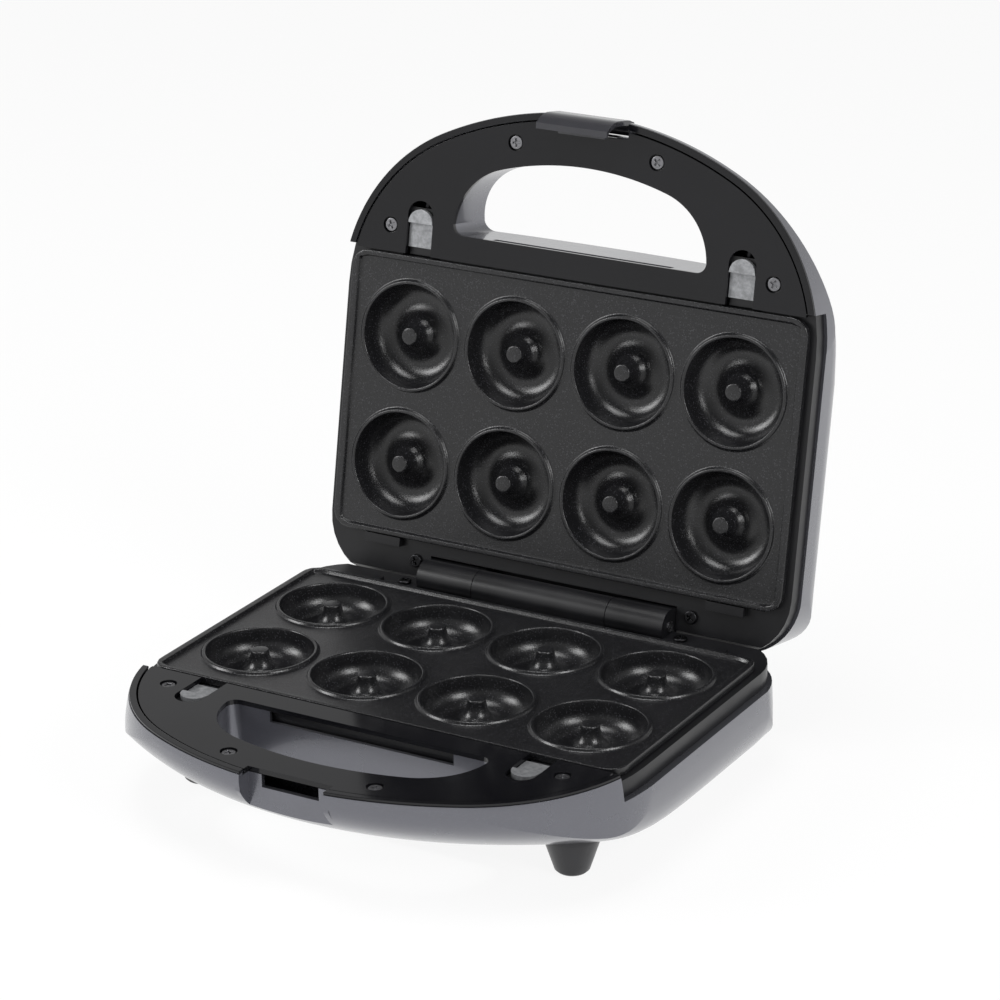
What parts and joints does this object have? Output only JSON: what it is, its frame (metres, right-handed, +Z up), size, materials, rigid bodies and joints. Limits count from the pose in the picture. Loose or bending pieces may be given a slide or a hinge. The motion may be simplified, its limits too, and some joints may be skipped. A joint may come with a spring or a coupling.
{
  "type": "mini doughnut maker",
  "caption": "Table-top electric mini doughnut maker with hinged lid, latch, D-shaped handle openings and detachable non-stick ring plates, stored open.",
  "frame": {"origin": "centre of the bounding box of the open appliance, on the table", "axes": "+X to the user's right, +Y away from the user towards the hinge, +Z up"},
  "size_m": [0.249, 0.2899, 0.2716],
  "materials": {
    "cover_grey": "metallic grey lacquer, glossy",
    "frame_black": "satin black moulded plastic",
    "deck_gloss": "high gloss black",
    "plate_coating": "speckled non-stick coating on cast aluminium",
    "slider_grey": "fine grained matt grey",
    "foot_rubber": "smooth dark",
    "bright_steel": "zinc plated",
    "reflector_sheet": "bright rolled sheet",
    "heater_tube": "annealed tube",
    "terminal_plastic": "ivory",
    "board": "solder mask",
    "lens_red": "clear red",
    "lens_green": "clear green"
  },
  "bodies": {
    "base": {"base_cover": "cover_grey", "base_frame": "frame_black", "base_deck": "deck_gloss", "base_plate": "plate_coating", "base_reflector": "reflector_sheet", "base_heater": "heater_tube", "base_heater_clips": "reflector_sheet", "base_thermostat": "bright_steel", "base_deck_screws": "bright_steel", "base_frame_screws": "bright_steel", "hinge_pin": "bright_steel", "cord_gland": "foot_rubber", "terminal_block": "terminal_plastic", "front_feet": "foot_rubber", "rear_feet": "foot_rubber", "base_slider_springs": "bright_steel"},
    "lid": {"lid_cover": "cover_grey", "lid_frame": "frame_black", "lid_deck": "deck_gloss", "lid_plate": "plate_coating", "lid_reflector": "reflector_sheet", "lid_heater": "heater_tube", "lid_heater_clips": "reflector_sheet", "lid_thermal_fuse": "bright_steel", "lid_deck_screws": "bright_steel", "lid_frame_screws": "bright_steel", "lid_slider_springs": "bright_steel", "lamp_board": "board", "power_lens": "lens_red", "ready_lens": "lens_green", "latch_pin": "bright_steel", "latch_spring": "bright_steel"},
    "latch": {"latch": "cover_grey"},
    "base_left_slider": {"base_left_slider": "slider_grey"},
    "base_right_slider": {"base_right_slider": "slider_grey"},
    "lid_left_slider": {"lid_left_slider": "slider_grey"},
    "lid_right_slider": {"lid_right_slider": "slider_grey"}
  },
  "joints": [
    {"name": "lid_hinge", "type": "hinge", "parent": "base", "child": "lid", "pos_m": [0, 0.07808, 0.0512], "axis": [1, 0, 0], "range_deg": [0, 100.76]},
    {"name": "latch_pivot", "type": "hinge", "parent": "lid", "child": "latch", "pos_m": [0, 0.12813, 0.2642], "axis": [-1, 0, 0], "range_deg": [0, 12], "stiffness_Nm_per_rad": 0.6},
    {"name": "base_left_slide", "type": "slide", "parent": "base", "child": "base_left_slider", "axis": [0, -1, 0], "range_m": [0, 0.0038], "stiffness_N_per_m": 400, "deforming": ["base_slider_springs"]},
    {"name": "base_right_slide", "type": "slide", "parent": "base", "child": "base_right_slider", "axis": [0, -1, 0], "range_m": [0, 0.0038], "stiffness_N_per_m": 400, "deforming": ["base_slider_springs"]},
    {"name": "lid_left_slide", "type": "slide", "parent": "lid", "child": "lid_left_slider", "axis": [0, 0.1867, 0.9824], "range_m": [0, 0.0038], "stiffness_N_per_m": 400, "deforming": ["lid_slider_springs"]},
    {"name": "lid_right_slide", "type": "slide", "parent": "lid", "child": "lid_right_slider", "axis": [0, 0.1867, 0.9824], "range_m": [0, 0.0038], "stiffness_N_per_m": 400, "deforming": ["lid_slider_springs"]}
  ]
}
